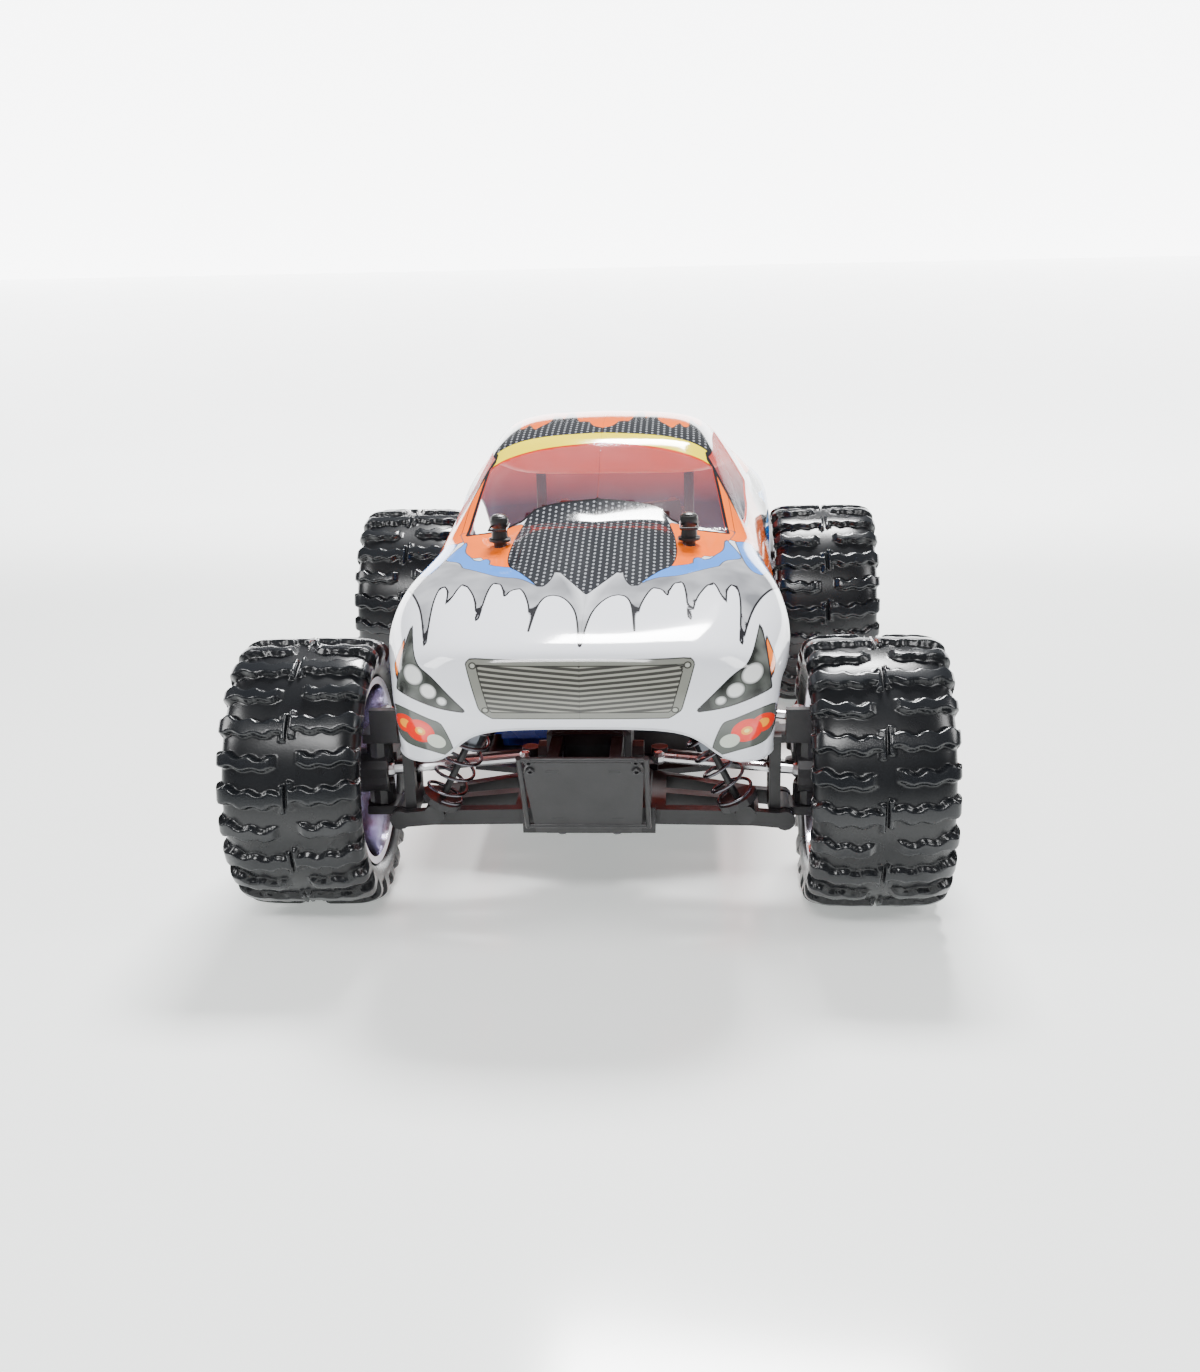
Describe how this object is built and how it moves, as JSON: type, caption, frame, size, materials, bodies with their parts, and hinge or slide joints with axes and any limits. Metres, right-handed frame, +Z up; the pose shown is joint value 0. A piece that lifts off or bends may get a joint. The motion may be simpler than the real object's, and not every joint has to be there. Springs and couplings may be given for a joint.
{
  "type": "rc monster truck",
  "caption": "Electric four-wheel-drive radio-controlled monster truck with sprung suspension, steering, spinning wheels and a lift-off painted shell.",
  "frame": {"origin": "on the ground under the middle of the truck", "axes": "-Y towards the nose, +X the driver's left, +Z up"},
  "size_m": [0.311, 0.4017, 0.1939],
  "materials": {
    "black_nylon": "moulded nylon, satin",
    "tyre_rubber": "soft black rubber, satin",
    "chromed_rim": "plated plastic",
    "drive_steel": "machined",
    "shock_alloy": "anodised",
    "spring_steel": "bright wire",
    "clip_steel": "black wire",
    "painted_shell": "painted polycarbonate, gloss",
    "motor_can": "plated can",
    "battery_wrap": "shrink wrap",
    "electronics_case": "moulded",
    "gearbox_nylon": "moulded nylon, satin"
  },
  "bodies": {
    "chassis": {"chassis_plate": "black_nylon", "front_bumper": "black_nylon", "front_gearbox": "gearbox_nylon", "rear_gearbox": "gearbox_nylon", "front_shock_tower": "black_nylon", "rear_shock_tower": "black_nylon", "front_body_posts": "black_nylon", "rear_body_posts": "black_nylon", "steering_servo": "electronics_case", "motor": "motor_can", "battery_pack": "battery_wrap", "speed_controller": "electronics_case", "receiver": "electronics_case"},
    "front_left_arm": {"front_left_lower_arm": "black_nylon"},
    "front_left_camber_link": {"front_left_upper_link": "black_nylon"},
    "front_left_drive_shaft": {"front_left_half_shaft": "drive_steel"},
    "front_left_shock_upper": {"front_left_shock_body": "shock_alloy"},
    "front_left_shock_lower": {"front_left_shock_shaft": "black_nylon", "front_left_shock_spring": "spring_steel"},
    "front_left_hub_body": {"front_left_c_hub": "black_nylon"},
    "front_left_wheel": {"front_left_rim": "chromed_rim", "front_left_tyre": "tyre_rubber"},
    "front_left_knuckle": {"front_left_steering_knuckle": "black_nylon"},
    "front_right_arm": {"front_right_lower_arm": "black_nylon"},
    "front_right_camber_link": {"front_right_upper_link": "black_nylon"},
    "front_right_drive_shaft": {"front_right_half_shaft": "drive_steel"},
    "front_right_shock_upper": {"front_right_shock_body": "shock_alloy"},
    "front_right_shock_lower": {"front_right_shock_shaft": "black_nylon", "front_right_shock_spring": "spring_steel"},
    "front_right_hub_body": {"front_right_c_hub": "black_nylon"},
    "front_right_wheel": {"front_right_rim": "chromed_rim", "front_right_tyre": "tyre_rubber"},
    "front_right_knuckle": {"front_right_steering_knuckle": "black_nylon"},
    "rear_left_arm": {"rear_left_lower_arm": "black_nylon"},
    "rear_left_camber_link": {"rear_left_upper_link": "black_nylon"},
    "rear_left_drive_shaft": {"rear_left_half_shaft": "drive_steel"},
    "rear_left_shock_upper": {"rear_left_shock_body": "shock_alloy"},
    "rear_left_shock_lower": {"rear_left_shock_shaft": "black_nylon", "rear_left_shock_spring": "spring_steel"},
    "rear_left_hub_body": {"rear_left_hub_carrier": "black_nylon"},
    "rear_left_wheel": {"rear_left_rim": "chromed_rim", "rear_left_tyre": "tyre_rubber"},
    "rear_right_arm": {"rear_right_lower_arm": "black_nylon"},
    "rear_right_camber_link": {"rear_right_upper_link": "black_nylon"},
    "rear_right_drive_shaft": {"rear_right_half_shaft": "drive_steel"},
    "rear_right_shock_upper": {"rear_right_shock_body": "shock_alloy"},
    "rear_right_shock_lower": {"rear_right_shock_shaft": "black_nylon", "rear_right_shock_spring": "spring_steel"},
    "rear_right_hub_body": {"rear_right_hub_carrier": "black_nylon"},
    "rear_right_wheel": {"rear_right_rim": "chromed_rim", "rear_right_tyre": "tyre_rubber"},
    "left_tie_rod": {"front_left_tie_rod": "black_nylon"},
    "right_tie_rod": {"front_right_tie_rod": "black_nylon"},
    "steering_rack": {"steering_plate": "black_nylon"},
    "horn": {"servo_horn": "black_nylon"},
    "drive_line": {"centre_shaft": "drive_steel"},
    "pinion": {"motor_pinion": "drive_steel"},
    "shell": {"body_shell": "painted_shell"},
    "left_clip": {"front_left_body_clip": "clip_steel"},
    "right_clip": {"front_right_body_clip": "clip_steel"}
  },
  "joints": [
    {"name": "front_left_travel", "type": "hinge", "parent": "chassis", "child": "front_left_arm", "pos_m": [0.024, -0.138, 0.048], "axis": [0, -1, 0], "range_deg": [-9, 14], "stiffness_Nm_per_rad": 3, "springref_deg": -4.3},
    {"name": "front_left_hub_level", "type": "hinge", "parent": "front_left_arm", "child": "front_left_hub_body", "pos_m": [0.086, -0.138, 0.042], "axis": [0, -1, 0], "range_deg": [-16, 12]},
    {"name": "front_left_link_swing", "type": "hinge", "parent": "chassis", "child": "front_left_camber_link", "pos_m": [0.03, -0.138, 0.092], "axis": [0, -1, 0], "range_deg": [-12, 16]},
    {"name": "front_left_shaft_swing", "type": "hinge", "parent": "chassis", "child": "front_left_drive_shaft", "pos_m": [0.03, -0.138, 0.0665], "axis": [0, -1, 0], "range_deg": [-12, 16]},
    {"name": "front_left_shock_swing", "type": "hinge", "parent": "chassis", "child": "front_left_shock_upper", "pos_m": [0.034, -0.1615, 0.118], "axis": [0, -1, 0], "range_deg": [-4, 5]},
    {"name": "front_left_shock_stroke", "type": "slide", "parent": "front_left_shock_upper", "child": "front_left_shock_lower", "axis": [-0.4472, 0, 0.8944], "range_m": [-0.009, 0.012], "deforming": ["front_left_shock_spring"]},
    {"name": "front_left_steer", "type": "hinge", "parent": "front_left_hub_body", "child": "front_left_knuckle", "pos_m": [0.096, -0.138, 0.0605], "axis": [0, 0, 1], "range_deg": [-16, 16]},
    {"name": "front_left_spin", "type": "hinge", "parent": "front_left_knuckle", "child": "front_left_wheel", "pos_m": [0.1245, -0.138, 0.0605], "axis": [1, 0, 0], "continuous": true},
    {"name": "front_right_travel", "type": "hinge", "parent": "chassis", "child": "front_right_arm", "pos_m": [-0.024, -0.138, 0.048], "axis": [0, 1, 0], "range_deg": [-9, 14], "stiffness_Nm_per_rad": 3, "springref_deg": -4.3},
    {"name": "front_right_hub_level", "type": "hinge", "parent": "front_right_arm", "child": "front_right_hub_body", "pos_m": [-0.086, -0.138, 0.042], "axis": [0, 1, 0], "range_deg": [-16, 12]},
    {"name": "front_right_link_swing", "type": "hinge", "parent": "chassis", "child": "front_right_camber_link", "pos_m": [-0.03, -0.138, 0.092], "axis": [0, 1, 0], "range_deg": [-12, 16]},
    {"name": "front_right_shaft_swing", "type": "hinge", "parent": "chassis", "child": "front_right_drive_shaft", "pos_m": [-0.03, -0.138, 0.0665], "axis": [0, 1, 0], "range_deg": [-12, 16]},
    {"name": "front_right_shock_swing", "type": "hinge", "parent": "chassis", "child": "front_right_shock_upper", "pos_m": [-0.034, -0.1615, 0.118], "axis": [0, 1, 0], "range_deg": [-4, 5]},
    {"name": "front_right_shock_stroke", "type": "slide", "parent": "front_right_shock_upper", "child": "front_right_shock_lower", "axis": [0.4472, 0, 0.8944], "range_m": [-0.009, 0.012], "deforming": ["front_right_shock_spring"]},
    {"name": "front_right_steer", "type": "hinge", "parent": "front_right_hub_body", "child": "front_right_knuckle", "pos_m": [-0.096, -0.138, 0.0605], "axis": [0, 0, 1], "range_deg": [-17, 17]},
    {"name": "front_right_spin", "type": "hinge", "parent": "front_right_knuckle", "child": "front_right_wheel", "pos_m": [-0.1245, -0.138, 0.0605], "axis": [1, 0, 0], "continuous": true},
    {"name": "rear_left_travel", "type": "hinge", "parent": "chassis", "child": "rear_left_arm", "pos_m": [0.024, 0.138, 0.048], "axis": [0, -1, 0], "range_deg": [-9, 14], "stiffness_Nm_per_rad": 3, "springref_deg": -4.3},
    {"name": "rear_left_hub_level", "type": "hinge", "parent": "rear_left_arm", "child": "rear_left_hub_body", "pos_m": [0.086, 0.138, 0.042], "axis": [0, -1, 0], "range_deg": [-16, 12]},
    {"name": "rear_left_link_swing", "type": "hinge", "parent": "chassis", "child": "rear_left_camber_link", "pos_m": [0.03, 0.138, 0.092], "axis": [0, -1, 0], "range_deg": [-12, 16]},
    {"name": "rear_left_shaft_swing", "type": "hinge", "parent": "chassis", "child": "rear_left_drive_shaft", "pos_m": [0.03, 0.138, 0.0665], "axis": [0, -1, 0], "range_deg": [-12, 16]},
    {"name": "rear_left_shock_swing", "type": "hinge", "parent": "chassis", "child": "rear_left_shock_upper", "pos_m": [0.034, 0.1615, 0.118], "axis": [0, -1, 0], "range_deg": [-4, 5]},
    {"name": "rear_left_shock_stroke", "type": "slide", "parent": "rear_left_shock_upper", "child": "rear_left_shock_lower", "axis": [-0.4472, 0, 0.8944], "range_m": [-0.009, 0.012], "deforming": ["rear_left_shock_spring"]},
    {"name": "rear_left_spin", "type": "hinge", "parent": "rear_left_hub_body", "child": "rear_left_wheel", "pos_m": [0.1245, 0.138, 0.0605], "axis": [1, 0, 0], "continuous": true},
    {"name": "rear_right_travel", "type": "hinge", "parent": "chassis", "child": "rear_right_arm", "pos_m": [-0.024, 0.138, 0.048], "axis": [0, 1, 0], "range_deg": [-9, 14], "stiffness_Nm_per_rad": 3, "springref_deg": -4.3},
    {"name": "rear_right_hub_level", "type": "hinge", "parent": "rear_right_arm", "child": "rear_right_hub_body", "pos_m": [-0.086, 0.138, 0.042], "axis": [0, 1, 0], "range_deg": [-16, 12]},
    {"name": "rear_right_link_swing", "type": "hinge", "parent": "chassis", "child": "rear_right_camber_link", "pos_m": [-0.03, 0.138, 0.092], "axis": [0, 1, 0], "range_deg": [-12, 16]},
    {"name": "rear_right_shaft_swing", "type": "hinge", "parent": "chassis", "child": "rear_right_drive_shaft", "pos_m": [-0.03, 0.138, 0.0665], "axis": [0, 1, 0], "range_deg": [-12, 16]},
    {"name": "rear_right_shock_swing", "type": "hinge", "parent": "chassis", "child": "rear_right_shock_upper", "pos_m": [-0.034, 0.1615, 0.118], "axis": [0, 1, 0], "range_deg": [-4, 5]},
    {"name": "rear_right_shock_stroke", "type": "slide", "parent": "rear_right_shock_upper", "child": "rear_right_shock_lower", "axis": [0.4472, 0, 0.8944], "range_m": [-0.009, 0.012], "deforming": ["rear_right_shock_spring"]},
    {"name": "rear_right_spin", "type": "hinge", "parent": "rear_right_hub_body", "child": "rear_right_wheel", "pos_m": [-0.1245, 0.138, 0.0605], "axis": [1, 0, 0], "continuous": true},
    {"name": "left_tie_rod_swing", "type": "hinge", "parent": "steering_rack", "child": "left_tie_rod", "pos_m": [0.03, -0.115, 0.06], "axis": [0, -1, 0], "range_deg": [-12, 16]},
    {"name": "right_tie_rod_swing", "type": "hinge", "parent": "steering_rack", "child": "right_tie_rod", "pos_m": [-0.03, -0.115, 0.06], "axis": [0, 1, 0], "range_deg": [-12, 16]},
    {"name": "rack_slide", "type": "slide", "parent": "chassis", "child": "steering_rack", "axis": [1, 0, 0], "range_m": [-0.008, 0.008]},
    {"name": "horn_turn", "type": "hinge", "parent": "chassis", "child": "horn", "pos_m": [0.02, -0.072, 0.082], "axis": [0, 0, 1], "range_deg": [-20, 20]},
    {"name": "centre_shaft_spin", "type": "hinge", "parent": "chassis", "child": "drive_line", "pos_m": [0, 0, 0.0665], "axis": [0, 1, 0], "continuous": true},
    {"name": "motor_spin", "type": "hinge", "parent": "chassis", "child": "pinion", "pos_m": [0.0264, 0.066, 0.0665], "axis": [0, 1, 0], "continuous": true},
    {"name": "shell_lift", "type": "slide", "parent": "chassis", "child": "shell", "axis": [0, 0, 1], "range_m": [0, 0.12]},
    {"name": "left_clip_pull", "type": "slide", "parent": "shell", "child": "left_clip", "axis": [0, -1, 0], "range_m": [0, 0.03]},
    {"name": "right_clip_pull", "type": "slide", "parent": "shell", "child": "right_clip", "axis": [0, -1, 0], "range_m": [0, 0.03]}
  ],
  "couplings": [
    {"joint": "front_left_hub_level", "follows": "front_left_travel", "ratio": -1},
    {"joint": "front_left_link_swing", "follows": "front_left_travel", "ratio": 1},
    {"joint": "front_left_shaft_swing", "follows": "front_left_travel", "ratio": 1},
    {"joint": "front_left_shock_swing", "follows": "front_left_travel", "ratio": 0.21},
    {"joint": "front_left_shock_stroke", "follows": "front_left_travel", "m_per_rad": 0.041},
    {"joint": "front_left_spin", "follows": "rear_left_spin", "ratio": 1},
    {"joint": "front_right_hub_level", "follows": "front_right_travel", "ratio": -1},
    {"joint": "front_right_link_swing", "follows": "front_right_travel", "ratio": 1},
    {"joint": "front_right_shaft_swing", "follows": "front_right_travel", "ratio": 1},
    {"joint": "front_right_shock_swing", "follows": "front_right_travel", "ratio": 0.21},
    {"joint": "front_right_shock_stroke", "follows": "front_right_travel", "m_per_rad": 0.041},
    {"joint": "front_right_steer", "follows": "front_left_steer", "ratio": 1},
    {"joint": "front_right_spin", "follows": "rear_left_spin", "ratio": 1},
    {"joint": "rear_left_hub_level", "follows": "rear_left_travel", "ratio": -1},
    {"joint": "rear_left_link_swing", "follows": "rear_left_travel", "ratio": 1},
    {"joint": "rear_left_shaft_swing", "follows": "rear_left_travel", "ratio": 1},
    {"joint": "rear_left_shock_swing", "follows": "rear_left_travel", "ratio": 0.21},
    {"joint": "rear_left_shock_stroke", "follows": "rear_left_travel", "m_per_rad": 0.041},
    {"joint": "rear_right_hub_level", "follows": "rear_right_travel", "ratio": -1},
    {"joint": "rear_right_link_swing", "follows": "rear_right_travel", "ratio": 1},
    {"joint": "rear_right_shaft_swing", "follows": "rear_right_travel", "ratio": 1},
    {"joint": "rear_right_shock_swing", "follows": "rear_right_travel", "ratio": 0.21},
    {"joint": "rear_right_shock_stroke", "follows": "rear_right_travel", "m_per_rad": 0.041},
    {"joint": "rear_right_spin", "follows": "rear_left_spin", "ratio": 1},
    {"joint": "left_tie_rod_swing", "follows": "front_left_travel", "ratio": 1},
    {"joint": "right_tie_rod_swing", "follows": "front_right_travel", "ratio": 1},
    {"joint": "rack_slide", "follows": "front_left_steer", "m_per_rad": -0.0227},
    {"joint": "horn_turn", "follows": "front_left_steer", "ratio": -1.03},
    {"joint": "centre_shaft_spin", "follows": "rear_left_spin", "ratio": 2.9231},
    {"joint": "motor_spin", "follows": "rear_left_spin", "ratio": -7.7949}
  ]
}
